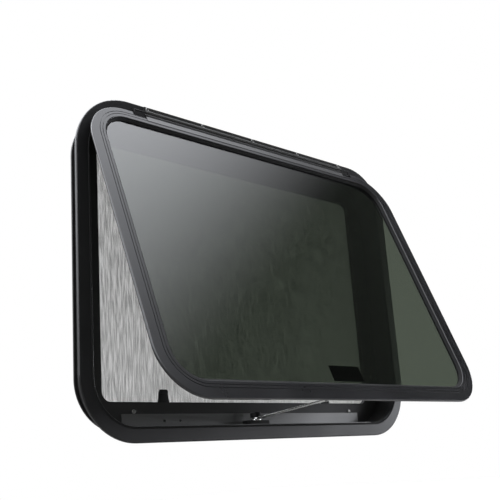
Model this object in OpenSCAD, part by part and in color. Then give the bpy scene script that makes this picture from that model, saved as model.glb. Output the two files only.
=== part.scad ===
// Wind-out caravan window, millimetres.
// A black aluminium frame sits in the caravan wall. A glazed sash hangs from a hinge along
// the frame's top edge and stands open on a winder arm. An insect screen closes the inside.
// The wall's outer skin lies in the plane y = 0, outside is -Y, and the origin is the bottom
// middle of the flange's rear face.

/* [Outer frame] */
// Width over the flange
frame_w = 768; // [640:1:1200]
// Height over the flange
frame_h = 560; // [440:1:900]
// Radius of the flange's outer corners
corner_r = 100; // [90:1:120]
// Width of the flange face
flange_w = 25; // [24:0.5:30]
// How far the flange face stands off the wall
flange_d = 10; // [8:0.5:14]
// How far the flange's outer lip reaches back towards the wall
lip_d = 5; // [4:0.5:8]
// Metal thickness of the flange and the sleeve
frame_t = 2.5; // [2:0.1:3]
// Radius on the flange's front edges
edge_r = 1.5; // [0.5:0.1:2]
// How far the sleeve reaches behind the wall's outer skin
wall_d = 34; // [26:0.5:50]
// Width of the rubber bead that the sash closes on
bead_w = 2.5; // [2:0.1:4]
// How far that bead stands proud of the flange
bead_t = 1.2; // [0.8:0.1:2]

/* [Sash] */
// How far the sash stays inside the flange's outer edge at the sides
side_inset = 9; // [8:0.5:11]
// How far it stays inside at the lower edge
low_inset = 10.5; // [8:0.5:12]
// How much narrower the rim is along the top than along the bottom
top_trim = 8.5; // [6:0.5:8.5]
// Radius of the sash's corners
sash_r = 80; // [74:1:86]
// Angle at which the sash stands open
open_angle = 20.9; // [10:0.1:30]
// Gap between the closed sash and the rubber bead
close_gap = 0.3; // [0.2:0.1:0.8]
// Width of the sash's flat rim
rim_w = 24; // [23:0.5:28]
// Thickness of the rim
rim_t = 2; // [1.6:0.1:2.4]
// Depth of the skirt along the rim's outer edge
skirt_d = 3.2; // [2.8:0.1:3.4]
// Thickness of that skirt
skirt_t = 2; // [1.5:0.1:2.5]
// How far the soft seal stands out behind the skirt
seal_t = 1.8; // [1.2:0.1:2]
// Thickness of the wall that stands behind the rim
sash_wall = 3.5; // [3:0.1:5]
// Depth of the sash from front to back
sash_d = 13; // [12:0.5:18]
// Radius on the rim's front edge
rim_r = 1.2; // [0.5:0.1:1.5]
// How far the glass lies behind the rim's front
glass_n = 6.5; // [5:0.5:8]
// Width of the rear ledge that the glass lies on
ledge_w = 7; // [6:0.5:9]
// Thickness of the rear ledge
ledge_t = 1.5; // [1.2:0.1:2]
// Where the outer decorative groove lies, from the sash's edge
groove_a = 16.5; // [15:0.5:18]
// Where the inner decorative groove lies, from the sash's edge
groove_b = 21.5; // [20.5:0.5:22]
// Width of a decorative groove
groove_w = 1.2; // [0.8:0.1:1.6]
// Depth of a decorative groove
groove_d = 0.9; // [0.4:0.1:1.1]
// Glass thickness
glass_t = 3.5; // [3:0.1:4]
// Gap between the glass edge and the sash wall
glass_gap = 0.5; // [0.3:0.1:1]
// Width of the glazing gasket's foot on the glass
gasket_w = 4.5; // [3:0.5:6]
// Width of the blank film on the glass
film_w = 74; // [50:1:100]
// Height of the blank film
film_h = 28.5; // [20:0.5:40]
// Thickness of the blank film
film_t = 0.3; // [0.2:0.1:0.4]
// How far right of the middle the film lies
film_x = 11; // [0:1:60]
// Height of the film above the sash's lower edge
film_rise = 36.5; // [36.5:0.5:80]

/* [Hinge] */
// Distance from the flange's outer edge to an end of the hinge rail
hinge_end = 132; // [130:1:180]
// Thickness of the hinge rail's base
rail_t = 2.5; // [2:0.1:3]
// Radius of the round hinge bead
pin_r = 1.8; // [1.6:0.1:2.4]
// Clearance round the hinge bead
pin_gap = 0.2; // [0.1:0.05:0.3]
// Metal thickness of the hinge's hook
hook_t = 1.4; // [1.2:0.1:1.8]
// Angle from the open leaf to the hook's lip
lip_angle = 9; // [8:0.5:15]
// How far the hinge axis lies above the sash's top edge
axis_rise = 7; // [5.5:0.1:7]
// Depth of the notch in the rim that takes the hinge leaf
leaf_notch = 13; // [11:0.5:13]
// Height of the raised bright strip of the hinge leaf
strip_w = 9.5; // [5:0.1:10]
// How far that strip stands proud
strip_t = 0.8; // [0.5:0.1:1.2]
// Height of the rubber cover above that strip
cover_h = 4; // [3:0.1:5]
// Thickness of the rubber cover
cover_t = 1.4; // [1:0.1:1.8]
// Number of fine ribs along the hinge rail
rib_count = 4; // [2:1:5]
// Height of a rib
rib_t = 0.5; // [0.3:0.1:0.6]
// Length of an end block
block_w = 24; // [18:0.5:28]
// How far an end block stands off the flange
block_t = 6.5; // [6:0.1:8]
// Height of an end block
block_h = 12; // [11:0.5:14]
// How far an end block reaches below the sash's top edge
block_drop = 4.5; // [4:0.5:6]
// Space between an end block and the rim
block_gap = 2.5; // [2:0.5:4]
// Distance from the rail's end to its last screw
hinge_screw_end = 6; // [5:1:30]

/* [Screen] */
// How far the screen's surround stays inside the flange's outer edge
surround_inset = 18; // [16:0.5:22]
// Distance from the flange's outer edge to the screen opening
screen_inset = 66; // [64:0.5:80]
// Radius of the screen opening's corners
screen_r = 17; // [12:0.5:30]
// Sheet thickness of the surround
surround_t = 3; // [2:0.1:4]
// Width of the screen frame's bars
bar_w = 16; // [12:0.5:16]
// Depth of the screen frame's bars
bar_t = 5; // [4:0.1:8]
// Thickness of the screen cloth
mesh_t = 0.4; // [0.3:0.1:0.6]
// Width of the strip that holds the cloth
spline_w = 5; // [4:0.5:7]
// Thickness of that strip
spline_t = 2; // [1.5:0.1:3]
// Distance of a pull tab from the middle
tab_x = 197; // [150:1:230]
// Width of a pull tab at its foot
tab_foot = 23.4; // [18:0.1:30]
// Width of a pull tab at its top
tab_top = 16.3; // [12:0.1:18]
// Height of a pull tab
tab_h = 21; // [15:0.5:26]
// Thickness of a pull tab
tab_t = 1.6; // [1.2:0.1:2.5]
// Distance of a spring clip from the middle
clip_x = 150; // [60:1:240]
// Width of a spring clip
clip_w = 16; // [12:0.5:24]
// Length of a clip's foot on the surround
clip_foot = 14; // [11:0.5:18]
// How far a clip reaches over the screen frame
clip_lap = 4; // [3:0.5:6]
// Metal thickness of a clip
clip_t = 1; // [0.8:0.1:1.5]

/* [Sill] */
// Sheet thickness of the sill cover
sill_t = 1.5; // [1:0.1:2]
// Height of the sill cover's upright leaf
sill_h = 22.5; // [20:0.5:24]
// Radius of a weep hole
weep_r = 2.5; // [1.5:0.1:3]
// Distance of the first weep hole from the middle
weep_x = 201; // [150:1:220]
// Distance between the two weep holes
weep_pitch = 33; // [15:1:60]
// Distance of a sill screw from the middle
sill_screw_x = 260; // [220:1:280]
// Height of the jamb screws above and below the middle
jamb_screw_z = 160; // [90:1:170]

/* [Winder] */
// Sideways place of the winder's pivot
winder_x = -19; // [-100:1:100]
// How far the pivot lies behind the wall's outer skin
winder_y = 10; // [6:0.5:14]
// Length of the gearbox
box_w = 54; // [46:1:90]
// Width of the gearbox
box_d = 20; // [18:0.5:20]
// Height of the gearbox
box_h = 6.5; // [6.5:0.1:12]
// Corner radius of the gearbox
box_r = 6; // [3:0.5:9]
// Radius of the knuckle
knuckle_r = 9; // [7:0.5:10]
// Height of the knuckle
knuckle_h = 1.6; // [1.4:0.1:5]
// Width of the arm
arm_w = 8; // [6:0.5:10]
// Thickness of the arm
arm_t = 2.5; // [2:0.1:3]
// Radius of the eye at the arm's inner end
eye_r = 8; // [7:0.5:9]
// Length of the wide plate at the arm's outer end
plate_l = 34; // [24:1:45]
// Width of that plate
plate_w = 12; // [11:0.5:14]
// Radius of the hub cap over the arm's pivot
hub_r = 9.5; // [7:0.5:10.5]
// Height of the hub cap
hub_h = 9; // [3:0.5:11]
// Sideways place of the sliding shoe
shoe_x = -62; // [-90:1:-30]
// Radius of the shoe's pin
shoe_r = 2; // [1.6:0.1:2.5]
// Clearance round the shoe's pin in the arm
shoe_gap = 1.3; // [1.2:0.1:1.6]
// How far the shoe's pin lies behind the sash's front
shoe_n = 9.5; // [9.5:0.1:10]
// How far the arm's outer eye lies above the sash's lower edge
eye_rise = 4; // [3:0.5:5]
// Length of the track on the sash
track_w = 250; // [180:1:320]
// Height of the track
track_h = 8; // [7:0.5:8]
// Radius of the winder's shaft
shaft_r = 3; // [2.5:0.1:3.2]
// Radius of the plate behind the knob
rose_r = 15; // [14:0.5:17]
// Thickness of that plate
rose_t = 3; // [2:0.1:5]
// Radius of the knob
knob_r = 14; // [12:0.5:17]
// Depth of the knob
knob_d = 18; // [12:0.5:25]
// Radius of a finger groove in the knob
grip_r = 3; // [2:0.1:4]

/* [Screws] */
// Radius of a screw head
head_r = 3.5; // [2.5:0.1:4]
// Height of a screw head
head_h = 1.6; // [1:0.1:2.5]
// Radius of the hexagonal recess in a screw head
recess_r = 1.6; // [1:0.1:2]

/* [Hidden] */
$fn = 96;
over = 1;            // overrun of a cutting shape
seat_gap = 0.3;      // clearance of pieces that pass through each other
mid_z = frame_h / 2 - flange_w / 2;
flange_y = -flange_d;
sleeve_z = flange_w / 2;

sash_w = frame_w - 2 * side_inset;
sash_h = frame_h - 2 * low_inset;
sash_y = flange_y - bead_t - close_gap - rim_t;
sash_low = mid_z - sash_h / 2;
rim_top = mid_z + sash_h / 2 - top_trim;
wall_u = rim_w + sash_wall;
glass_u = wall_u + glass_gap;
ledge_n = glass_n + glass_t;
glass_back_y = sash_y + ledge_n;

hinge_w = frame_w - 2 * hinge_end;
hinge_pitch = (hinge_w - 2 * hinge_screw_end) / 4;
axis_y = sash_y;
axis_z = rim_top + axis_rise;
hook_in = pin_r + pin_gap;
hook_out = hook_in + hook_t;
rail_z = axis_z + hook_in;
rail_h = mid_z + frame_h / 2 - edge_r - rail_z;
leaf_low = rim_top - leaf_notch;
block_z = rim_top - block_drop;
hinge_screw_z = rail_z + rail_h / 2;

screen_w = frame_w - 2 * screen_inset;
screen_h = frame_h - 2 * screen_inset;
screen_low = mid_z - screen_h / 2;
surround_y = wall_d;
screen_y = surround_y + surround_t;
cloth_y = screen_y + bar_t;
tab_y = screen_y + bar_t / 6;
cloth_lap = bar_w * 3 / 5;

sill_w = frame_w - 2 * corner_r;
sill_z = sleeve_z + sill_t;
upright_y = surround_y - sill_t;
weep_z = sleeve_z + sill_h / 2;
sill_screw_z = sleeve_z + sill_h + head_r;
jamb_x = (frame_w / 2 - flange_w + screen_w / 2) / 2;
clip_u = screen_inset - bar_w;

shaft_z = sill_z + box_h / 2;
knuckle_z = sill_z + box_h;
arm_z = knuckle_z + knuckle_h;
arm_mid_z = arm_z + arm_t / 2;
track_u = rim_w - track_h;
slot_h = track_h * 5 / 8;
slot_w = 2 * shoe_r + 2 * seat_gap + arm_t / 2;
shoe_y = sash_y + shoe_n;
eye_z = sash_low + eye_rise;

// Where a point of the closed sash lies once the sash stands open, as [y, z]
function opened(y, z) = [
    axis_y + (y - axis_y) * cos(open_angle) + (z - axis_z) * sin(open_angle),
    axis_z - (y - axis_y) * sin(open_angle) + (z - axis_z) * cos(open_angle)
];
eye_at = opened(shoe_y, eye_z);
arm_dx = shoe_x - winder_x;
arm_dy = eye_at[0] - winder_y;
arm_dz = eye_at[1] - arm_mid_z;
arm_reach = norm([arm_dx, arm_dy]);
arm_len = norm([arm_reach, arm_dz]);
arm_turn = atan2(arm_dy, arm_dx);
arm_rise = atan2(arm_dz, arm_reach);
eye_hole = shoe_r + shoe_gap;

// Helpers

// Rounded rectangle about the origin
module rounded(w, h, r) {
    square([w - 2 * r, h], center = true);
    square([w, h - 2 * r], center = true);
    for (sx = [-1, 1], sy = [-1, 1])
        translate([sx * (w / 2 - r), sy * (h / 2 - r)]) circle(r);
}

// Flat plate in the window's plane, from depth y0 over thickness t
module slab(y0, t) {
    translate([0, y0 + t, mid_z]) rotate([90, 0, 0]) linear_extrude(t) children();
}

// Carries a profile round a rounded rectangle. In the profile x runs inwards from the edge
// and y runs backwards from the plane y0.
module carried(w, h, r, y0) {
    translate([0, y0, mid_z]) rotate([90, 0, 0]) {
        for (side = [[0, w, h], [90, h, w], [180, w, h], [270, h, w]])
            rotate([0, 0, side[0]])
                translate([r - side[1] / 2, -side[2] / 2, 0])
                    rotate([90, 0, 90])
                        linear_extrude(side[1] - 2 * r) mirror([0, 1]) children();
        for (turn = [[0, 1, 1], [90, -1, 1], [180, -1, -1], [270, 1, -1]])
            translate([turn[1] * (w / 2 - r), turn[2] * (h / 2 - r), 0])
                rotate([0, 0, turn[0]])
                    rotate_extrude(angle = 90) translate([r, 0]) rotate([0, 0, 180]) children();
    }
}

// What rounding a square corner at the origin takes off
module corner_waste(r) {
    difference() {
        translate([-over, -over]) square(r + over);
        translate([r, r]) circle(r);
    }
}

// Turns what is drawn in the closed sash to its open place
module on_sash() {
    translate([0, axis_y, axis_z]) rotate([-open_angle, 0, 0])
        translate([0, -axis_y, -axis_z]) children();
}

// Box from low corner with sizes, centred on x
module bar(w, y0, d, z0, h) {
    translate([-w / 2, y0, z0]) cube([w, d, h]);
}

// Round bar along Y
module rod(x, y0, d, z, r) {
    translate([x, y0 + d, z]) rotate([90, 0, 0]) cylinder(h = d, r = r);
}

// Screw head with a hexagonal recess. It stands out towards -Y, or +Y where back is true.
module screw(x, y, z, back = false) {
    translate([x, y, z]) rotate([back ? -90 : 90, 0, 0]) difference() {
        union() {
            cylinder(h = head_h / 2, r = head_r);
            cylinder(h = head_h, r = head_r - head_h / 2);
        }
        translate([0, 0, head_h / 2]) cylinder(h = head_h, r = recess_r, $fn = 6);
    }
}

// Outer frame and what it carries

// Flange that stands on the wall's outer skin by its inner leg. Its outer lip is shorter.
module outer_flange() {
    color([0.06, 0.06, 0.06])
        carried(frame_w, frame_h, corner_r, flange_y) difference() {
            union() {
                square([frame_t, lip_d]);
                square([flange_w, frame_t]);
                translate([flange_w - frame_t, 0]) square([frame_t, flange_d]);
            }
            corner_waste(edge_r);
            translate([flange_w, 0]) mirror([1, 0]) corner_waste(edge_r);
        }
}

// Sleeve that runs from the flange through the wall
module wall_sleeve() {
    color([0.06, 0.06, 0.06])
        carried(frame_w, frame_h, corner_r, 0)
            translate([flange_w - frame_t, 0]) square([frame_t, wall_d]);
}

// Soft gasket in the flange channel. It seals against the wall's outer skin.
module wall_gasket() {
    color([0.16, 0.16, 0.16])
        carried(frame_w, frame_h, corner_r, flange_y + frame_t)
            translate([frame_t, 0]) square([flange_w - 2 * frame_t, flange_d - frame_t]);
}

// Rubber bead along the flange's inner edge. It gives way to the hinge's end blocks.
module frame_bead() {
    color([0.03, 0.03, 0.03]) difference() {
        carried(frame_w, frame_h, corner_r, flange_y - bead_t) difference() {
            translate([flange_w - bead_w - edge_r, 0]) square([bead_w, bead_t]);
            translate([flange_w - bead_w - edge_r, 0]) corner_waste(bead_t / 2);
            translate([flange_w - edge_r, 0]) mirror([1, 0]) corner_waste(bead_t / 2);
        }
        for (side = [-1, 1]) block_body(side);
    }
}

// Folded cover on the sleeve's lower side, with the winder's shaft hole and two weep holes
module sill_cover() {
    color([0.3, 0.3, 0.3]) difference() {
        union() {
            bar(sill_w, 0, surround_y, sleeve_z, sill_t);
            bar(sill_w, upright_y, sill_t, sleeve_z, sill_h);
        }
        rod(winder_x, upright_y - over, sill_t + 2 * over, shaft_z, shaft_r + seat_gap);
        for (x = [-weep_x, -weep_x + weep_pitch])
            rod(x, upright_y - over, sill_t + 2 * over, weep_z, weep_r);
    }
}

// Insect screen

// Sheet that closes the back of the sleeve round the screen
module screen_surround() {
    color([0.1, 0.1, 0.1]) difference() {
        slab(surround_y, surround_t) difference() {
            rounded(frame_w - 2 * surround_inset, frame_h - 2 * surround_inset,
                corner_r - surround_inset);
            rounded(screen_w, screen_h, screen_r);
        }
        rod(winder_x, surround_y - over, surround_t + 2 * over, shaft_z, shaft_r + seat_gap);
    }
}

module jamb_screws() {
    color([0.35, 0.35, 0.35])
        for (side = [-1, 1], level = [-1, 1])
            screw(side * jamb_x, surround_y, mid_z + level * jamb_screw_z);
}

module sill_screws() {
    color([0.35, 0.35, 0.35])
        for (side = [-1, 1]) screw(side * sill_screw_x, surround_y, sill_screw_z);
}

module screen_frame() {
    color([0.1, 0.1, 0.1]) slab(screen_y, bar_t) difference() {
        rounded(screen_w + 2 * bar_w, screen_h + 2 * bar_w, screen_r + bar_w);
        rounded(screen_w, screen_h, screen_r);
    }
}

// Woven screen cloth, stretched over the back of its frame
module screen_cloth() {
    color([0.7, 0.7, 0.7, 0.5]) slab(cloth_y, mesh_t)
        rounded(screen_w + 2 * cloth_lap, screen_h + 2 * cloth_lap, screen_r + cloth_lap);
}

// Strip that holds the cloth down on the frame
module screen_spline() {
    inner = (cloth_lap - spline_w) / 2;
    outer = inner + spline_w;
    color([0.05, 0.05, 0.05]) slab(cloth_y + mesh_t, spline_t) difference() {
        rounded(screen_w + 2 * outer, screen_h + 2 * outer, screen_r + outer);
        rounded(screen_w + 2 * inner, screen_h + 2 * inner, screen_r + inner);
    }
}

// Stepped spring clips on the surround, which hold the screen frame by its long bars
module screen_clips() {
    color([0.6, 0.6, 0.6])
        for (side = [-1, 1], level = [-1, 1])
            translate([side * clip_x, screen_y, mid_z]) rotate([0, 90 - 90 * level, 0])
                translate([0, 0, frame_h / 2 - clip_u]) {
                    bar(clip_w, 0, clip_t, 0, clip_foot);
                    bar(clip_w, 0, bar_t + clip_t, 0, clip_t);
                    bar(clip_w, bar_t, clip_t, -clip_lap, clip_lap + clip_t);
                }
}

module clip_screws() {
    color([0.35, 0.35, 0.35])
        for (side = [-1, 1], level = [-1, 1])
            screw(side * clip_x, screen_y + clip_t,
                mid_z + level * (frame_h / 2 - clip_u + clip_foot - head_r - clip_t), true);
}

// Tapered pull tab that stands on the screen frame's lower bar
module screen_tab(side) {
    color([0.05, 0.05, 0.05])
        translate([side * tab_x, tab_y + tab_t, screen_low]) rotate([90, 0, 0])
            linear_extrude(tab_t) polygon([
                [-tab_foot / 2, 0], [tab_foot / 2, 0], [tab_top / 2, tab_h], [-tab_top / 2, tab_h]
            ]);
}

module screen_tab_left() { screen_tab(-1); }

module screen_tab_right() { screen_tab(1); }

// Hinge

// Profile along the hinge, drawn as [y, z] from the axis and carried along X over length w
module along_hinge(w) {
    translate([-w / 2, axis_y, axis_z]) rotate([90, 0, 90]) linear_extrude(w) children();
}

// Ribbed rail fixed to the flange, with a hook over the hinge bead
module hinge_rail() {
    base_y = flange_y - rail_t - axis_y;
    rib_pitch = rail_h / (rib_count + 1);
    color([0.17, 0.17, 0.17]) along_hinge(hinge_w) union() {
        translate([base_y, rail_z - axis_z]) square([rail_t, rail_h]);
        for (i = [1 : rib_count])
            translate([base_y - rib_t, rail_z - axis_z + i * rib_pitch - rib_t / 2])
                square([2 * rib_t, rib_t * 2]);
        difference() {
            circle(hook_out);
            circle(hook_in);
            translate([flange_y - axis_y, -hook_out]) square([hook_out, 2 * hook_out]);
            polygon([
                [0, 0], [-2 * hook_out * tan(open_angle + lip_angle), -2 * hook_out],
                [2 * hook_out, -hook_out]
            ]);
        }
    }
}

// Leaf on the sash, with the round bead that turns in the hook and a bright raised strip
module hinge_leaf() {
    leaf_h = axis_z - leaf_low;
    color([0.45, 0.45, 0.45]) on_sash() along_hinge(hinge_w - 2 * seat_gap) union() {
        circle(pin_r);
        translate([0, -leaf_h]) square([pin_r - pin_gap, leaf_h]);
        translate([0, -leaf_h]) square([rim_t, leaf_h - hook_out - pin_gap]);
        translate([-strip_t, -leaf_h]) square([strip_t * 2, strip_w]);
    }
}

// Rubber strip on the leaf, above the bright strip
module hinge_cover() {
    color([0.03, 0.03, 0.03]) on_sash() along_hinge(hinge_w - 2 * seat_gap)
        translate([-cover_t, leaf_low - axis_z + strip_w]) difference() {
            square([cover_t, cover_h]);
            corner_waste(cover_t / 2);
            translate([0, cover_h]) mirror([0, 1]) corner_waste(cover_t / 2);
        }
}

// Block that closes an end of the hinge
module block_body(side) {
    translate([side * (hinge_w + block_w) / 2, 0, 0])
        bar(block_w, flange_y - block_t, block_t, block_z, block_h);
}

module hinge_block_left() {
    color([0.03, 0.03, 0.03]) block_body(-1);
}

module hinge_block_right() {
    color([0.03, 0.03, 0.03]) block_body(1);
}

module hinge_screws() {
    color([0.4, 0.4, 0.4])
        for (i = [-2 : 2])
            screw(i * hinge_pitch, flange_y - rail_t - rib_t, hinge_screw_z);
}

// Sash

// Carries a profile round the rim's outer edge, which lies lower along the top
module round_rim(y0) {
    translate([0, 0, -top_trim / 2]) carried(sash_w, sash_h - top_trim, sash_r, y0) children();
}

// What the hinge leaf and the end blocks take out of the rim
module hinge_notch() {
    bar(hinge_w, sash_y - over, sash_d, leaf_low, axis_z);
    bar(hinge_w + 2 * block_w + 2 * block_gap, sash_y - over, sash_d, block_z - block_gap, axis_z);
}

// Rim with a skirt along its outer edge and two decorative grooves. Behind it stand a wall
// and a ledge for the glass.
module sash_frame() {
    color([0.2, 0.2, 0.21]) on_sash() difference() {
        union() {
            round_rim(sash_y) difference() {
                union() {
                    square([wall_u - top_trim, rim_t]);
                    square([skirt_t, skirt_d]);
                }
                corner_waste(rim_r);
            }
            carried(sash_w, sash_h, sash_r, sash_y) difference() {
                union() {
                    translate([rim_w / 2, 0]) square([wall_u - rim_w / 2, rim_t]);
                    translate([rim_w, 0]) square([sash_wall, sash_d]);
                    translate([rim_w, ledge_n]) square([ledge_w, ledge_t]);
                }
                translate([wall_u, 0]) mirror([1, 0]) corner_waste(rim_r);
            }
        }
        for (u = [groove_a, groove_b])
            carried(sash_w, sash_h, sash_r, sash_y - over)
                translate([u - groove_w / 2, 0]) square([groove_w, groove_d + over]);
        hinge_notch();
    }
}

// Soft seal behind the skirt, which closes on the flange. It stops at the hinge and the track.
module sash_seal() {
    color([0.04, 0.04, 0.04]) on_sash() difference() {
        round_rim(sash_y + skirt_d) difference() {
            translate([seat_gap, 0]) square([skirt_t - seat_gap, seal_t]);
            translate([seat_gap, seal_t]) mirror([0, 1]) corner_waste(seal_t / 4);
        }
        hinge_notch();
        translate([shoe_x, 0, 0])
            bar(track_w + 2 * seat_gap, sash_y - over, sash_d, sash_low - over, wall_u);
    }
}

// Sloping rubber between the rim and the glass
module glazing_gasket() {
    color([0.03, 0.03, 0.03]) on_sash()
        carried(sash_w, sash_h, sash_r, sash_y)
            polygon([
                [wall_u, rim_r], [wall_u + gasket_w / 5, rim_r],
                [wall_u + gasket_w, glass_n - gasket_w / 5],
                [wall_u + gasket_w, glass_n], [wall_u, glass_n]
            ]);
}

module glass_pane() {
    color([0.35, 0.38, 0.36, 0.5]) on_sash() slab(sash_y + glass_n, glass_t)
        rounded(sash_w - 2 * glass_u, sash_h - 2 * glass_u, sash_r - glass_u);
}

// Blank dark film on the back of the glass
module glass_film() {
    color([0.14, 0.15, 0.13]) on_sash()
        translate([film_x, 0, 0])
            bar(film_w, glass_back_y, film_t, sash_low + film_rise, film_h);
}

// Winder

// Gearbox that stands on the sill
module winder_box() {
    color([0.05, 0.05, 0.05])
        translate([winder_x, winder_y, sill_z]) linear_extrude(box_h) rounded(box_w, box_d, box_r);
}

module winder_knuckle() {
    color([0.5, 0.5, 0.48])
        translate([winder_x, winder_y, knuckle_z]) difference() {
            cylinder(h = knuckle_h, r = knuckle_r);
            translate([0, 0, knuckle_h]) rotate([0, 0, arm_turn])
                cube([2 * knuckle_r + over, arm_w / 2, knuckle_h / 2], center = true);
        }
}

// Flat arm from the knuckle to the shoe. It widens to a plate at its outer end.
module winder_arm() {
    color([0.6, 0.6, 0.58])
        translate([winder_x, winder_y, arm_mid_z]) rotate([0, 0, arm_turn])
            rotate([0, -arm_rise, 0]) translate([0, 0, -arm_t / 2]) difference() {
                union() {
                    translate([eye_r / 2, -arm_w / 2, 0]) cube([arm_len - eye_r / 2, arm_w, arm_t]);
                    translate([eye_r / 2, 0, 0]) cylinder(h = arm_t, r = eye_r);
                    translate([arm_len - plate_l, -plate_w / 2, 0]) cube([plate_l, plate_w, arm_t]);
                    translate([arm_len, 0, 0]) cylinder(h = arm_t, r = plate_w / 2);
                }
                translate([arm_len, 0, -over]) cylinder(h = arm_t + 2 * over, r = eye_hole);
            }
}

// Cap over the arm's pivot. It clears the rising arm.
module winder_hub() {
    rise = (hub_r + eye_r) * tan(arm_rise);
    color([0.05, 0.05, 0.05])
        translate([winder_x, winder_y, arm_z + arm_t + rise]) {
            cylinder(h = hub_h * 3 / 4, r = hub_r);
            cylinder(h = hub_h, r = hub_r - hub_h / 4);
        }
}

// Pin and slider that join the arm to the track
module winder_shoe() {
    pin_h = track_u - eye_rise + arm_t + slot_h;
    color([0.3, 0.3, 0.3]) on_sash() translate([shoe_x, shoe_y, eye_z - arm_t]) {
        cylinder(h = pin_h, r = shoe_r);
        translate([0, 0, pin_h - slot_h / 2])
            cube([slot_w * 3, slot_w - 2 * seat_gap, slot_h - 2 * seat_gap], center = true);
    }
}

// Channel behind the sash's lower rim, open downwards, in which the shoe slides
module winder_track() {
    color([0.25, 0.25, 0.25]) on_sash() translate([shoe_x, 0, 0]) difference() {
        bar(track_w, sash_y + rim_t, sash_d - rim_t, sash_low + track_u, track_h);
        bar(track_w + 2 * over, shoe_y - slot_w / 2, slot_w, sash_low + track_u - over,
            slot_h + over + seat_gap);
    }
}

// Shaft from the gearbox to the knob
module winder_shaft() {
    back = winder_y + box_d / 2;
    color([0.5, 0.5, 0.5]) rod(winder_x, back, screen_y + rose_t - back, shaft_z, shaft_r);
}

module winder_rose() {
    color([0.12, 0.12, 0.12]) difference() {
        rod(winder_x, screen_y, rose_t, shaft_z, rose_r);
        rod(winder_x, screen_y - over, rose_t + 2 * over, shaft_z, shaft_r + seat_gap);
    }
}

// Round knob on the inside, with finger grooves
module winder_knob() {
    color([0.1, 0.1, 0.1]) difference() {
        rod(winder_x, screen_y + rose_t, knob_d, shaft_z, knob_r);
        for (turn = [0 : 45 : 315])
            rod(winder_x + knob_r * cos(turn), screen_y + rose_t + knob_d / 3, knob_d,
                shaft_z + knob_r * sin(turn), grip_r);
    }
}

outer_flange();
wall_sleeve();
wall_gasket();
frame_bead();
sill_cover();
screen_surround();
screen_frame();
screen_cloth();
screen_spline();
screen_clips();
clip_screws();
screen_tab_left();
screen_tab_right();
jamb_screws();
sill_screws();
hinge_rail();
hinge_leaf();
hinge_cover();
hinge_block_left();
hinge_block_right();
hinge_screws();
sash_frame();
sash_seal();
glazing_gasket();
glass_pane();
glass_film();
winder_box();
winder_knuckle();
winder_arm();
winder_hub();
winder_shoe();
winder_track();
winder_shaft();
winder_rose();
winder_knob();
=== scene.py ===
"""Looks of a wind-out caravan window: black aluminium frame, tinted sash on a winder arm, insect screen."""

import math

import bmesh
import bpy
from mathutils import Matrix, Vector


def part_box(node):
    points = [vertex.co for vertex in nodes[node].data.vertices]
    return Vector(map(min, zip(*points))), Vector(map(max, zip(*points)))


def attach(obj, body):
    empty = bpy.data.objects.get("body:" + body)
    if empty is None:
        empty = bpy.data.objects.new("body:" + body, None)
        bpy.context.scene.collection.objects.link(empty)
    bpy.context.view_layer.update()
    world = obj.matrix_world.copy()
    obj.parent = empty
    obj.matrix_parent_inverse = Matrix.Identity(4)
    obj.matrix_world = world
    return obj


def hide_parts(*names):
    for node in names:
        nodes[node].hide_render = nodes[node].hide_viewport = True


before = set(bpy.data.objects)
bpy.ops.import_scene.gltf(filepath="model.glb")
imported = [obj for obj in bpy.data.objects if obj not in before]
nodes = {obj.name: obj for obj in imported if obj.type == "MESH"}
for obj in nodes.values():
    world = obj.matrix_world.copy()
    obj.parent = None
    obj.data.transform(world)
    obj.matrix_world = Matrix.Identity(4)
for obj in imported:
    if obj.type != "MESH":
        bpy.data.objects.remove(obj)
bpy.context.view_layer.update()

bpy.ops.object.select_all(action="DESELECT")

# View: the camera stands left of the window and a little below it, and looks up to the right.
# It was placed by the corners of the frame, the sash and the screen opening.
CAMERA_PLACE = (-1.0275, -1.0532, -0.0654)
CAMERA_TURN = math.radians(-43.9)
CAMERA_RISE = math.radians(15.05)
CAMERA_ROLL = math.radians(-4.03)
CAMERA_LENS = 59.3
CAMERA_SENSOR = 36
UPRIGHT = math.radians(90)

bpy.ops.object.camera_add(location=CAMERA_PLACE)
camera = bpy.context.object
camera.name = "camera"
camera.rotation_euler = (
    Matrix.Rotation(CAMERA_TURN, 4, "Z")
    @ Matrix.Rotation(UPRIGHT + CAMERA_RISE, 4, "X")
    @ Matrix.Rotation(CAMERA_ROLL, 4, "Z")
).to_euler()
camera.data.lens = CAMERA_LENS
camera.data.sensor_width = CAMERA_SENSOR
camera.data.dof.use_dof = False
bpy.context.scene.camera = camera
bpy.context.scene.view_settings.view_transform = "Standard"

# Floor: a plain pale studio floor well below the window, which hangs as if in its wall.
# It is white to the camera and keeps the object's shadow.
FLOOR_Z = -0.55
FLOOR_SIZE = 30.0
FLOOR_WHITE = (0.9, 0.9, 0.9, 1)
FLOOR_ROUGH = 0.8
FLOOR_GLOSS = 0.1
FLOOR_GLOW = 0.45

bpy.ops.mesh.primitive_plane_add(size=FLOOR_SIZE, location=(0, 0, FLOOR_Z))
floor = bpy.context.object
floor.name = "studio_floor"
floor_paint = bpy.data.materials.new("studio_white")
floor_paint.use_nodes = True
tree = floor_paint.node_tree
shader = tree.nodes["Principled BSDF"]
shader.inputs["Base Color"].default_value = FLOOR_WHITE
shader.inputs["Roughness"].default_value = FLOOR_ROUGH
shader.inputs["Specular IOR Level"].default_value = FLOOR_GLOSS
shader.inputs["Emission Color"].default_value = (1, 1, 1, 1)
rays = tree.nodes.new("ShaderNodeLightPath")
glow = tree.nodes.new("ShaderNodeMath")
glow.operation = "MULTIPLY"
glow.inputs[1].default_value = FLOOR_GLOW
tree.links.new(rays.outputs["Is Camera Ray"], glow.inputs[0])
tree.links.new(glow.outputs[0], shader.inputs["Emission Strength"])
floor.data.materials.append(floor_paint)

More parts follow.
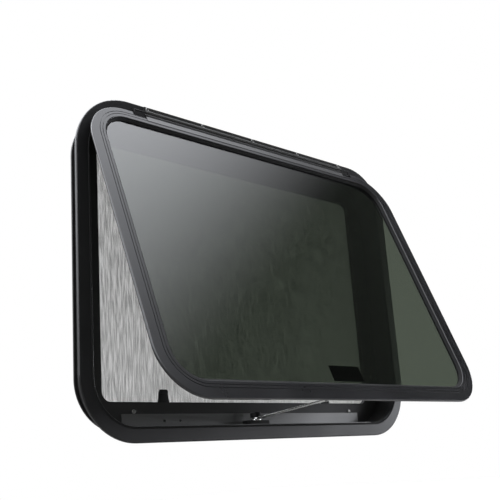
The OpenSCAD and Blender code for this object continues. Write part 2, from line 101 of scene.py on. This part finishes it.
# Light: a white surround, a broad soft lamp high on the left and a weak one behind. Glossy
# surfaces see a soft box high on the left that fades out downwards and to the right, and a
# low pale strip at the far right, as the photo's reflections do.
SURROUND_SOFT = 0.55
GLOSS_LOW = 0.03
GLOSS_HIGH = 5.4
GLOSS_FROM = 0.26
GLOSS_TO = 0.62
GLOSS_LEAN = 0.5
GLOSS_SIDE = 9.0
SIDE_FROM = 0.47
SIDE_TO = 0.92
SIDE_LOW = 0.12
SIDE_HIGH = 0.26
SOFT_BOX = (0.93, 0.95, 1.0)
SURROUND_WHITE = (1.0, 1.0, 1.0)
LAMP_SIZE = 1.6
LAMP_AIM = Vector((0, 0, 0.25))

world = bpy.data.worlds.new("studio")
world.use_nodes = True
bpy.context.scene.world = world
tree = world.node_tree
tree.nodes.clear()
sky_out = tree.nodes.new("ShaderNodeOutputWorld")
sky = tree.nodes.new("ShaderNodeBackground")
direction = tree.nodes.new("ShaderNodeTexCoord")
axes = tree.nodes.new("ShaderNodeSeparateXYZ")
tree.links.new(direction.outputs["Generated"], axes.inputs[0])


def fade(tree, source, low, high, top):
    """A smooth climb from nought to top while the source goes from low to high."""
    ramp = tree.nodes.new("ShaderNodeMapRange")
    ramp.interpolation_type = "SMOOTHSTEP"
    ramp.inputs["From Min"].default_value = low
    ramp.inputs["From Max"].default_value = high
    ramp.inputs["To Min"].default_value = 0
    ramp.inputs["To Max"].default_value = top
    tree.links.new(source, ramp.inputs["Value"])
    return ramp.outputs["Result"]


def sum_of(tree, kind, *values):
    """The result of one Math node, from numbers or other nodes' outputs."""
    step = tree.nodes.new("ShaderNodeMath")
    step.operation = kind
    for socket, value in zip(step.inputs, values):
        if isinstance(value, (int, float)):
            socket.default_value = value
        else:
            tree.links.new(value, socket)
    return step.outputs[0]


def mixed(tree, amount, first, second):
    """A colour between two colours."""
    mix = tree.nodes.new("ShaderNodeMix")
    mix.data_type = "RGBA"
    for label, value in (("Factor", amount), ("A", first), ("B", second)):
        socket = mix.inputs[label]
        if isinstance(value, (int, float)):
            socket.default_value = value
        elif isinstance(value, tuple):
            socket.default_value = (*value, 1)
        else:
            tree.links.new(value, socket)
    return mix.outputs["Result"]


rightward = sum_of(tree, "MULTIPLY", axes.outputs["X"], GLOSS_LEAN)
leaning = sum_of(tree, "SUBTRACT", axes.outputs["Z"], rightward)
overhead = fade(tree, leaning, GLOSS_FROM, GLOSS_TO, GLOSS_HIGH)
off_level = sum_of(tree, "ABSOLUTE", axes.outputs["Z"])
past_strip = fade(tree, off_level, SIDE_LOW, SIDE_HIGH, 1.0)
side_glow = sum_of(
    tree, "MULTIPLY", fade(tree, axes.outputs["X"], SIDE_FROM, SIDE_TO, GLOSS_SIDE),
    sum_of(tree, "SUBTRACT", 1.0, past_strip),
)
gloss_level = sum_of(tree, "ADD", sum_of(tree, "ADD", overhead, side_glow), GLOSS_LOW)
rays = tree.nodes.new("ShaderNodeLightPath")
clear = sum_of(tree, "MAXIMUM", rays.outputs["Is Camera Ray"], rays.outputs["Is Transmission Ray"])
not_clear = sum_of(tree, "SUBTRACT", 1.0, clear)
glossy = sum_of(tree, "MULTIPLY", rays.outputs["Is Glossy Ray"], not_clear)
mirror = sum_of(tree, "MULTIPLY", glossy, gloss_level)
plain = sum_of(tree, "MULTIPLY", rays.outputs["Is Diffuse Ray"], SURROUND_SOFT)
level = sum_of(tree, "ADD", sum_of(tree, "ADD", mirror, plain), clear)
tree.links.new(level, sky.inputs["Strength"])
tree.links.new(mixed(tree, glossy, SURROUND_WHITE, SOFT_BOX), sky.inputs["Color"])
tree.links.new(sky.outputs[0], sky_out.inputs[0])

for name, lamp_place, power in (
    ("lamp_left", (-1.6, -2.0, 2.2), 30),
    ("lamp_back", (-0.8, 2.4, 1.8), 6),
):
    bpy.ops.object.light_add(type="AREA", location=lamp_place)
    lamp = bpy.context.object
    lamp.name = name
    lamp.data.size = LAMP_SIZE
    lamp.data.energy = power
    lamp.rotation_euler = (LAMP_AIM - Vector(lamp_place)).to_track_quat("-Z", "Y").to_euler()

# Flange and sleeve: black anodised aluminium extrusions, bent to the window's outline and
# welded at one joint. The finish is satin, with a fine grain and a trace of dust on top.
FLANGE_BLACK = (0.008, 0.008, 0.0085)
FLANGE_WORN = (0.05, 0.05, 0.05)
SLEEVE_BLACK = (0.007, 0.007, 0.007)
SLEEVE_WORN = (0.04, 0.04, 0.04)
DUST_GREY = (0.32, 0.31, 0.29)
DUST_ROUGH = 0.4
CLOUD_SCALE = 14.0
ROUGH_SPREAD = 0.16
GRAIN_STRENGTH = 0.4
MILLIMETRE = 0.001


def new_group(name, inputs, outputs):
    """An empty shader group with value and colour sockets. Returns the group and its two ends."""
    group = bpy.data.node_groups.new(name, "ShaderNodeTree")
    for label, kind, value in inputs:
        socket = group.interface.new_socket(name=label, in_out="INPUT", socket_type=kind)
        socket.default_value = value
    for label, kind in outputs:
        group.interface.new_socket(name=label, in_out="OUTPUT", socket_type=kind)
    return group, group.nodes.new("NodeGroupInput"), group.nodes.new("NodeGroupOutput")


def speckle(tree, scale, detail=4.0, stretch=None):
    """Noise on the object's own coordinates. Returns its value from nought to one."""
    coordinates = tree.nodes.new("ShaderNodeTexCoord")
    noise = tree.nodes.new("ShaderNodeTexNoise")
    noise.inputs["Detail"].default_value = detail
    source = coordinates.outputs["Object"]
    if stretch:
        drawn_out = tree.nodes.new("ShaderNodeMapping")
        drawn_out.inputs["Scale"].default_value = stretch
        tree.links.new(source, drawn_out.inputs["Vector"])
        source = drawn_out.outputs["Vector"]
    tree.links.new(source, noise.inputs["Vector"])
    if isinstance(scale, (int, float)):
        noise.inputs["Scale"].default_value = scale
    else:
        tree.links.new(scale, noise.inputs["Scale"])
    return noise.outputs["Fac"]


# Satin surface: cloudy tone, dust that lies on upward faces, a little wear on edges, fine grain
satin, satin_in, satin_out = new_group(
    "satin_surface",
    (
        ("Paint", "NodeSocketColor", (0.01, 0.01, 0.01, 1)),
        ("Wear", "NodeSocketColor", (0.08, 0.08, 0.08, 1)),
        ("Roughness", "NodeSocketFloat", 0.35),
        ("Grain Scale", "NodeSocketFloat", 1500.0),
        ("Dust", "NodeSocketFloat", 0.1),
    ),
    (("Color", "NodeSocketColor"), ("Roughness", "NodeSocketFloat"), ("Height", "NodeSocketFloat")),
)
surface = satin.nodes.new("ShaderNodeNewGeometry")
facing = satin.nodes.new("ShaderNodeSeparateXYZ")
satin.links.new(surface.outputs["Normal"], facing.inputs[0])
clouds = speckle(satin, CLOUD_SCALE, 5.0)
fine = speckle(satin, satin_in.outputs["Grain Scale"], 2.0)
upward = fade(satin, facing.outputs["Z"], 0.35, 0.95, 1.0)
lying = sum_of(satin, "MULTIPLY", upward, satin_in.outputs["Dust"])
dusty = sum_of(satin, "MULTIPLY", lying, fade(satin, clouds, 0.35, 0.7, 1.0))
sharp = fade(satin, surface.outputs["Pointiness"], 0.54, 0.62, 0.6)
rubbed = sum_of(satin, "MULTIPLY", sharp, fine)
bare = mixed(satin, rubbed, satin_in.outputs["Paint"], satin_in.outputs["Wear"])
satin.links.new(mixed(satin, dusty, bare, DUST_GREY), satin_out.inputs["Color"])
uneven = sum_of(satin, "MULTIPLY_ADD", clouds, ROUGH_SPREAD, -ROUGH_SPREAD / 2)
rough = sum_of(satin, "ADD", satin_in.outputs["Roughness"], uneven)
dust_rough = sum_of(satin, "MULTIPLY", dusty, DUST_ROUGH)
satin.links.new(sum_of(satin, "ADD", rough, dust_rough), satin_out.inputs["Roughness"])
satin.links.new(fine, satin_out.inputs["Height"])


def satin_finish(name, paint, wear, rough, grain=1500.0, depth=0.02, dust=0.1, metal=0.0, gloss=0.5):
    """A painted, anodised, moulded or rubber surface made with the satin group. Depth is in mm."""
    finish = bpy.data.materials.new(name)
    finish.use_nodes = True
    tree = finish.node_tree
    shader = tree.nodes["Principled BSDF"]
    shader.inputs["Metallic"].default_value = metal
    shader.inputs["Specular IOR Level"].default_value = gloss
    group = tree.nodes.new("ShaderNodeGroup")
    group.node_tree = satin
    group.inputs["Paint"].default_value = (*paint, 1)
    group.inputs["Wear"].default_value = (*wear, 1)
    group.inputs["Roughness"].default_value = rough
    group.inputs["Grain Scale"].default_value = grain
    group.inputs["Dust"].default_value = dust
    bump = tree.nodes.new("ShaderNodeBump")
    bump.inputs["Strength"].default_value = GRAIN_STRENGTH
    bump.inputs["Distance"].default_value = depth * MILLIMETRE
    tree.links.new(group.outputs["Color"], shader.inputs["Base Color"])
    tree.links.new(group.outputs["Roughness"], shader.inputs["Roughness"])
    tree.links.new(group.outputs["Height"], bump.inputs["Height"])
    tree.links.new(bump.outputs["Normal"], shader.inputs["Normal"])
    return finish


def dress(node, finish):
    """Puts a finish on a node of the frame."""
    mesh = nodes[node].data
    mesh.materials.clear()
    mesh.materials.append(finish)


flange_paint = satin_finish(
    "flange_anodised", FLANGE_BLACK, FLANGE_WORN, rough=0.36, dust=0.05, gloss=0.22
)
sleeve_paint = satin_finish(
    "sleeve_anodised", SLEEVE_BLACK, SLEEVE_WORN, rough=0.45, dust=0.05, gloss=0.12
)
dress("outer_flange", flange_paint)
dress("wall_sleeve", sleeve_paint)

# Wall gasket: a strip of closed-cell foam, pressed into the channel behind the flange before
# the frame goes into the wall. It is squeezed between the flange and the wall's skin.
FOAM_GREY = (0.02, 0.02, 0.021)
foam = satin_finish(
    "gasket_foam", FOAM_GREY, FOAM_GREY, rough=0.85, grain=900.0, depth=0.25, dust=0.0, gloss=0.15
)
dress("wall_gasket", foam)

# Frame bead: a soft extruded strip of black rubber along the flange's inner edge, on which the
# sash closes. It is glued down all the way round.
RUBBER_BLACK = (0.004, 0.004, 0.004)
RUBBER_WORN = (0.01, 0.01, 0.01)
rubber = satin_finish(
    "bead_rubber", RUBBER_BLACK, RUBBER_WORN, rough=0.7, grain=1200.0, dust=0.02, gloss=0.12
)
dress("frame_bead", rubber)

# Sill cover: folded sheet of dark satin aluminium that lies on the sleeve's lower side. Its
# upright leaf stands before the screen, with two weep holes and a hole for the winder's shaft.
SILL_GREY = (0.045, 0.045, 0.045)
SILL_WORN = (0.1, 0.1, 0.1)
sill_paint = satin_finish(
    "sill_sheet", SILL_GREY, SILL_WORN, rough=0.33, depth=0.01, dust=0.12, metal=0.4
)
dress("sill_cover", sill_paint)

# Screen surround: black sheet that closes the back of the sleeve round the screen opening.
# It is fixed to the sleeve's end and carries the screws, the screen and the knob.
RING_BLACK = (0.007, 0.007, 0.007)
RING_WORN = (0.03, 0.03, 0.03)
ring_paint = satin_finish("ring_paint", RING_BLACK, RING_WORN, rough=0.45, dust=0.04, gloss=0.15)
dress("screen_surround", ring_paint)

# Screws: blackened steel with domed heads and a hexagonal socket, turned and cold-headed.
# They hold the hinge rail, the screen's surround and the spring clips.
SCREW_GREY = (0.16, 0.16, 0.155)
SCREW_WORN = (0.4, 0.4, 0.4)
HEAD_R = 0.0035
HEAD_H = 0.0016
HEAD_DOME = 0.0007
HEAD_TURN = math.radians(23)
SOCKET_R = 0.0016
TOUCH = 0.0001
X, Y, Z = range(3)
screw_steel = satin_finish(
    "screw_steel", SCREW_GREY, SCREW_WORN, rough=0.3, dust=0.0, metal=0.9
)


def drum(name, middle, radius, depth, axis="Z", sides=48):
    """A cylinder about its middle along an axis, opened for shaping in edit mode."""
    turn = {"Z": (0, 0, 0), "Y": (math.radians(90), 0, 0)}[axis]
    bpy.ops.mesh.primitive_cylinder_add(
        vertices=sides, radius=radius, depth=depth, location=middle, rotation=turn
    )
    bpy.context.object.name = name
    bpy.ops.object.transform_apply(location=True, rotation=True, scale=True)
    bpy.ops.object.mode_set(mode="EDIT")
    return bpy.context.object


def choose(piece, kind, test):
    """Selects only the edges or faces, by kind, whose middle and self pass a test."""
    bpy.ops.mesh.select_mode(type=kind)
    bpy.ops.mesh.select_all(action="DESELECT")
    shape = bmesh.from_edit_mesh(piece.data)
    for part in shape.edges if kind == "EDGE" else shape.faces:
        middle = sum((corner.co for corner in part.verts), Vector()) / len(part.verts)
        if test(middle, part):
            part.select_set(True)
    bmesh.update_edit_mesh(piece.data)


def choose_rim(piece, axis, level):
    """Selects the edges that lie in the plane across an axis at a level."""
    choose(piece, "EDGE", lambda middle, edge: all(
        abs(corner.co[axis] - level) < TOUCH for corner in edge.verts
    ))


def cut_out(piece, tool):
    """Takes a tool's shape out of a piece and deletes the tool."""
    cut = piece.modifiers.new("cut", "BOOLEAN")
    cut.object = tool
    cut.operation = "DIFFERENCE"
    bpy.context.view_layer.objects.active = piece
    bpy.ops.object.modifier_apply(modifier=cut.name)
    bpy.data.objects.remove(tool)


def finished(piece, finish, node, smooth=35):
    """Closes a shaped piece: smooth shading, finish, body and the node it stands for."""
    if piece.mode == "EDIT":
        bpy.ops.object.mode_set(mode="OBJECT")
    bpy.ops.object.select_all(action="DESELECT")
    piece.select_set(True)
    bpy.context.view_layer.objects.active = piece
    bpy.ops.object.shade_smooth_by_angle(angle=math.radians(smooth))
    piece.data.materials.clear()
    piece.data.materials.append(finish)
    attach(piece, "root")
    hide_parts(node)
    piece.select_set(False)


head = drum("screw_head", (0, -HEAD_H / 2, 0), HEAD_R, HEAD_H, "Y", 36)
choose_rim(head, Y, -HEAD_H)
bpy.ops.mesh.bevel(offset=HEAD_DOME, segments=3, affect="EDGES")
bpy.ops.object.mode_set(mode="OBJECT")
socket = drum("screw_socket", (0, -HEAD_H, 0), SOCKET_R, HEAD_H, "Y", 6)
bpy.ops.object.mode_set(mode="OBJECT")
cut_out(head, socket)

for node, columns, rows, back in (
    ("hinge_screws", 5, 1, False),
    ("jamb_screws", 2, 2, False),
    ("sill_screws", 2, 1, False),
    ("clip_screws", 2, 2, True),
):
    low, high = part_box(node)
    base_y = low[1] if back else high[1]
    copies = []
    for column in range(columns):
        for row in range(rows):
            x = low[0] + HEAD_R + (high[0] - low[0] - 2 * HEAD_R) * column / (columns - 1)
            z = low[2] + HEAD_R + (high[2] - low[2] - 2 * HEAD_R) * row / max(rows - 1, 1)
            copy = head.copy()
            copy.data = head.data.copy()
            copy.data.transform(
                Matrix.Translation((x, base_y, z))
                @ Matrix.Rotation(math.pi if back else 0.0, 4, "Z")
                @ Matrix.Rotation(HEAD_TURN * (column + 2 * row), 4, "Y")
            )
            bpy.context.collection.objects.link(copy)
            copies.append(copy)
    bpy.ops.object.select_all(action="DESELECT")
    for copy in copies:
        copy.select_set(True)
    bpy.context.view_layer.objects.active = copies[0]
    bpy.ops.object.join()
    copies[0].name = f"{node}_heads"
    finished(copies[0], screw_steel, node)
bpy.data.objects.remove(head)

# Screen: grey coated netting, stretched over a black frame and held by a rubber strip pressed
# in along its edge. The frame lifts out by two tapered pull tabs on its lower bar.
THREAD_PITCH = 0.0016
THREAD_THIN = 0.20
THREAD_MORE = 0.21
THREAD_ROUGH = 0.6
THREAD_GREY = (0.13, 0.135, 0.13)
THREAD_DIM = tuple(0.7 * c for c in THREAD_GREY)
# Painted light: a pale thread colour that the netting is mixed towards from left to right. It stands for
# the light falling on its right side.
THREAD_PAINTED_LIGHT = (0.75, 0.77, 0.72)
PAINTED_LIGHT_FROM = -0.25
PAINTED_LIGHT_TO = 0.25
PAINTED_LIGHT_MOST = 0.8
STREAK_SCALE = 430.0
STREAK_STRETCH = (1, 1, 0.07)
netting = bpy.data.materials.new("screen_netting")
netting.use_nodes = True
tree = netting.node_tree
shader = tree.nodes["Principled BSDF"]
shader.inputs["Roughness"].default_value = THREAD_ROUGH
weave = tree.nodes.new("ShaderNodeTexCoord")
axes = tree.nodes.new("ShaderNodeSeparateXYZ")
tree.links.new(weave.outputs["Object"], axes.inputs[0])
streaks = fade(tree, speckle(tree, STREAK_SCALE, 0.5, STREAK_STRETCH), 0.32, 0.68, THREAD_MORE)
share = sum_of(tree, "ADD", streaks, THREAD_THIN)
threads = []
for axis in ("X", "Z"):
    turns = sum_of(tree, "DIVIDE", axes.outputs[axis], THREAD_PITCH)
    within = sum_of(tree, "FRACT", turns)
    threads.append(sum_of(tree, "LESS_THAN", within, share))
woven = sum_of(tree, "MAXIMUM", threads[0], threads[1])
tree.links.new(woven, shader.inputs["Alpha"])
worn = mixed(tree, speckle(tree, 60.0, 3.0), THREAD_GREY, THREAD_DIM)
# Painted light: the threads turn paler towards the right, as if lit there. The speckled grey under it is
# the netting's own uneven tone.
painted_light = fade(tree, axes.outputs["X"], PAINTED_LIGHT_FROM, PAINTED_LIGHT_TO, PAINTED_LIGHT_MOST)
tree.links.new(mixed(tree, painted_light, worn, THREAD_PAINTED_LIGHT), shader.inputs["Base Color"])
dress("screen_cloth", netting)
dress("screen_frame", ring_paint)
dress("screen_spline", rubber)

# Pull tabs: tapered black mouldings that stand on the screen frame's lower bar. Each has a
# thicker lip along its top and soft edges for the fingers.
TAB_BLACK = (0.004, 0.004, 0.004)
TAB_WORN = (0.015, 0.015, 0.015)
TAB_TAPER = 0.70
TAB_ROUND = 0.002
TAB_SOFT = 0.0004
LIP_SHARE = 0.72
LIP_OUT = 0.0012
tab_black = satin_finish(
    "tab_plastic", TAB_BLACK, TAB_WORN, rough=0.55, depth=0.05, dust=0.02, gloss=0.12
)


def corners(node):
    """The low and the high corner of a node's box."""
    return [Vector(corner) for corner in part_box(node)]


def block(name, low, high):
    """A box from its low to its high corner, opened for shaping in edit mode."""
    bpy.ops.mesh.primitive_cube_add(size=1, location=(low + high) / 2)
    piece = bpy.context.object
    piece.name = name
    piece.scale = high - low
    bpy.ops.object.transform_apply(location=True, rotation=True, scale=True)
    bpy.ops.object.mode_set(mode="EDIT")
    return piece


def run_of(edge, axis):
    """How far an edge runs along an axis."""
    return abs(edge.verts[0].co[axis] - edge.verts[1].co[axis])


def break_edges(piece, width, segments, angle):
    """Gives the active piece's edges that are sharper than an angle a narrow bevel."""
    soft = piece.modifiers.new("soft_edges", "BEVEL")
    soft.width = width
    soft.segments = segments
    soft.limit_method = "ANGLE"
    soft.angle_limit = math.radians(angle)
    bpy.ops.object.modifier_apply(modifier=soft.name)


for side in ("left", "right"):
    low, high = corners(f"screen_tab_{side}")
    tab = block(f"pull_tab_{side}", low, high)
    choose(tab, "FACE", lambda middle, face: face.normal.z > 0.9)
    bpy.ops.transform.resize(value=(TAB_TAPER, 1, 1), center_override=(low + high) / 2)
    choose(tab, "EDGE", lambda middle, edge: run_of(edge, Y) > TOUCH and middle.z > high.z - TOUCH)
    bpy.ops.mesh.bevel(offset=TAB_ROUND, segments=4, affect="EDGES")
    bpy.ops.mesh.select_all(action="SELECT")
    lip_z = low.z + (high.z - low.z) * LIP_SHARE
    bpy.ops.mesh.bisect(plane_co=(0, 0, lip_z), plane_no=(0, 0, 1))
    choose(tab, "FACE", lambda middle, face: face.normal.y < -0.9 and middle.z > lip_z)
    bpy.ops.mesh.extrude_region_move(TRANSFORM_OT_translate={"value": (0, -LIP_OUT, 0)})
    bpy.ops.object.mode_set(mode="OBJECT")
    break_edges(tab, TAB_SOFT, 2, 30)
    finished(tab, tab_black, f"screen_tab_{side}")

# Spring clips: zinc-plated spring strip, pressed to a step and screwed to the surround. They
# hold the screen frame by its long bars, and their sharp edges are broken.
ZINC_GREY = (0.5, 0.5, 0.48)
ZINC_WORN = (0.7, 0.7, 0.7)
CLIP_SOFT = 0.0003
MERGE_GAP = 0.00001
FLAT_ANGLE = math.radians(0.5)
zinc = satin_finish("zinc_plate", ZINC_GREY, ZINC_WORN, rough=0.28, depth=0.01, dust=0.03, metal=1.0)


def softened(name, node, width, finish, segments=2):
    """A merged copy of a node's own solid with its sharp edges broken."""
    piece = nodes[node].copy()
    piece.data = nodes[node].data.copy()
    piece.name = name
    bpy.context.collection.objects.link(piece)
    bpy.ops.object.select_all(action="DESELECT")
    piece.select_set(True)
    bpy.context.view_layer.objects.active = piece
    bpy.ops.object.mode_set(mode="EDIT")
    bpy.ops.mesh.select_all(action="SELECT")
    bpy.ops.mesh.remove_doubles(threshold=MERGE_GAP)
    bpy.ops.mesh.dissolve_limited(angle_limit=FLAT_ANGLE)
    bpy.ops.object.mode_set(mode="OBJECT")
    break_edges(piece, width, segments, 40)
    finished(piece, finish, node)


softened("spring_clips", "screen_clips", CLIP_SOFT, zinc)

# Hinge: dark ribbed rail screwed to the flange, with a hook over the bead of the sash's leaf.
# The leaf's raised strip is bare satin metal, with a rubber strip pressed on above it; the strip's black is
# also painted shade for the hook's shadow on the leaf.
RAIL_BLACK = (0.012, 0.012, 0.011)
RAIL_WORN = (0.06, 0.06, 0.06)
LEAF_GREY = (0.018, 0.018, 0.019)
LEAF_WORN = (0.1, 0.1, 0.1)
rail_paint = satin_finish("rail_anodised", RAIL_BLACK, RAIL_WORN, rough=0.42, dust=0.02, gloss=0.16)
leaf_metal = satin_finish("leaf_metal", LEAF_GREY, LEAF_WORN, rough=0.34, dust=0.02, gloss=0.5)
dress("hinge_rail", rail_paint)
dress("hinge_leaf", leaf_metal)
# Painted shade: the black rubber strip above the leaf's raised strip also stands in for the shadow that the
# hook casts there.
dress("hinge_cover", rubber)

# Hinge end blocks: black mouldings with rounded front edges, pressed on the rail's ends. Each
# has a shallow panel in its front.
BLOCK_ROUND = 0.0012
BLOCK_BORDER = 0.0015
BLOCK_DEPTH = 0.0006
BLOCK_FRONT = 0.00005
for side in ("left", "right"):
    low, high = corners(f"hinge_block_{side}")
    end = block(f"end_block_{side}", low, high)
    choose_rim(end, Y, low.y)
    bpy.ops.mesh.bevel(offset=BLOCK_ROUND, segments=3, affect="EDGES")
    choose(end, "FACE", lambda middle, face: face.normal.y < -0.99 and face.calc_area() > BLOCK_FRONT)
    bpy.ops.mesh.inset(thickness=BLOCK_BORDER, depth=0)
    bpy.ops.mesh.extrude_region_move(TRANSFORM_OT_translate={"value": (0, BLOCK_DEPTH, 0)})
    finished(end, tab_black, f"hinge_block_{side}")

# Sash: black powder-coated aluminium extrusion with two fine grooves, bent round and joined at
# the top. A rubber seal runs behind its skirt, and a sloping rubber gasket holds the glass.
SASH_BLACK = (0.011, 0.011, 0.012)
SASH_WORN = (0.03, 0.03, 0.03)
sash_paint = satin_finish(
    "sash_powder_coat", SASH_BLACK, SASH_WORN, rough=0.3, depth=0.015, dust=0.02, gloss=0.36
)
dress("sash_frame", sash_paint)
dress("sash_seal", rubber)
dress("glazing_gasket", rubber)

# Glass: one flat pane of grey-green tinted glass, clean and smooth. It lies on the sash's rear
# ledge, and the gasket's foot presses on its front.
GLASS_TINT = (0.080, 0.096, 0.074)
GLASS_DIM = tuple(0.96 * c for c in GLASS_TINT)
GLASS_BEND = 1.54
SMEAR_ROUGH = 0.02
glass = bpy.data.materials.new("tinted_glass")
glass.use_nodes = True
tree = glass.node_tree
shader = tree.nodes["Principled BSDF"]
shader.inputs["Transmission Weight"].default_value = 1.0
shader.inputs["IOR"].default_value = GLASS_BEND
tint = mixed(tree, speckle(tree, 3.0, 2.0), GLASS_TINT, GLASS_DIM)
tree.links.new(tint, shader.inputs["Base Color"])
smear = fade(tree, speckle(tree, 7.0, 6.0), 0.45, 0.8, SMEAR_ROUGH)
tree.links.new(smear, shader.inputs["Roughness"])
dress("glass_pane", glass)

# Film: a blank label of thin dark plastic, cut square and stuck on the back of the glass. It
# lies low down and right of the middle.
FILM_DARK = (0.012, 0.015, 0.011)
film_dark = satin_finish("label_film", FILM_DARK, FILM_DARK, rough=0.4, dust=0.0, gloss=0.3)
dress("glass_film", film_dark)

# Gearbox: a black moulding with round corners that stands on the sill cover. Its lid is let
# into its top, with a fine joint round it.
BOX_ROUND = 0.006
BOX_EDGE = 0.0009
LID_BORDER = 0.0014
LID_JOINT = 0.0005
LID_AREA = 0.0002
low, high = corners("winder_box")
gearbox = block("gearbox", low, high)
choose(gearbox, "EDGE", lambda middle, edge: run_of(edge, Z) > TOUCH)
bpy.ops.mesh.bevel(offset=BOX_ROUND, segments=6, affect="EDGES")
choose_rim(gearbox, Z, high.z)
bpy.ops.mesh.bevel(offset=BOX_EDGE, segments=3, affect="EDGES")
choose(gearbox, "FACE", lambda middle, face: face.normal.z > 0.99 and face.calc_area() > LID_AREA)
bpy.ops.mesh.inset(thickness=LID_BORDER, depth=0)
bpy.ops.mesh.inset(thickness=LID_JOINT, depth=-LID_JOINT)
finished(gearbox, tab_black, "winder_box")

# Knuckle and hub: a zinc boss under the arm, and the black cap over the arm's pivot. The cap
# is turned, with a rounded shoulder and a shallow dish in its top.
HUB_ROUND = 0.002
HUB_BORDER = 0.0018
HUB_DISH = 0.0008
HUB_AREA = 0.00005
KNUCKLE_SOFT = 0.0004
low, high = corners("winder_hub")
hub = drum("hub_cap", (low + high) / 2, (high.x - low.x) / 2, high.z - low.z)
choose_rim(hub, Z, high.z)
bpy.ops.mesh.bevel(offset=HUB_ROUND, segments=5, affect="EDGES")
choose(hub, "FACE", lambda middle, face: face.normal.z > 0.99 and face.calc_area() > HUB_AREA)
bpy.ops.mesh.inset(thickness=HUB_BORDER, depth=0)
bpy.ops.mesh.inset(thickness=HUB_DISH, depth=-HUB_DISH)
finished(hub, tab_black, "winder_hub")
softened("knuckle", "winder_knuckle", KNUCKLE_SOFT, zinc)

# Winder arm: flat zinc-plated bar with broken edges, from the hub to a pin that slides in a
# black track behind the sash. The shaft runs from the gearbox through the sill cover to the
# knob.
ARM_SOFT = 0.0005
softened("arm", "winder_arm", ARM_SOFT, zinc, 3)
dress("winder_shaft", zinc)
dress("winder_shoe", screw_steel)
dress("winder_track", sleeve_paint)

# Knob and rose: black moulded wheel with eight finger flutes and a dished face, turned by hand
# from inside, over a round plate that hides the shaft hole.
KNOB_BLACK = (0.012, 0.012, 0.012)
KNOB_WORN = (0.05, 0.05, 0.05)
KNOB_ROUND = 0.0015
KNOB_BORDER = 0.004
KNOB_AREA = 0.0001
DISH_SLOPE = 0.002
DISH_DEPTH = 0.0015
ROSE_ROUND = 0.001
FLUTES = 8
FLUTE_R = 0.003
FLUTE_REACH = 1.3
knob_black = satin_finish("knob_plastic", KNOB_BLACK, KNOB_WORN, rough=0.45, depth=0.04)
low, high = corners("winder_rose")
rose = drum("rose", (low + high) / 2, (high.x - low.x) / 2, high.y - low.y, "Y", 64)
choose_rim(rose, Y, high.y)
bpy.ops.mesh.bevel(offset=ROSE_ROUND, segments=3, affect="EDGES")
finished(rose, knob_black, "winder_rose")

low, high = corners("winder_knob")
axle = (low + high) / 2
knob_r = (high.x - low.x) / 2
knob = drum("knob", axle, knob_r, high.y - low.y, "Y", 96)
choose_rim(knob, Y, high.y)
bpy.ops.mesh.bevel(offset=KNOB_ROUND, segments=4, affect="EDGES")
choose(knob, "FACE", lambda middle, face: face.normal.y > 0.99 and face.calc_area() > KNOB_AREA)
bpy.ops.mesh.inset(thickness=KNOB_BORDER, depth=0)
bpy.ops.mesh.inset(thickness=DISH_SLOPE, depth=-DISH_DEPTH)
bpy.ops.object.mode_set(mode="OBJECT")
for turn in range(FLUTES):
    angle = turn * math.tau / FLUTES
    flute_place = axle + knob_r * Vector((math.cos(angle), 0, math.sin(angle)))
    flute_place.y = high.y
    flute = drum("flute", flute_place, FLUTE_R, FLUTE_REACH * (high.y - low.y), "Y", 32)
    bpy.ops.object.mode_set(mode="OBJECT")
    cut_out(knob, flute)
finished(knob, knob_black, "winder_knob")
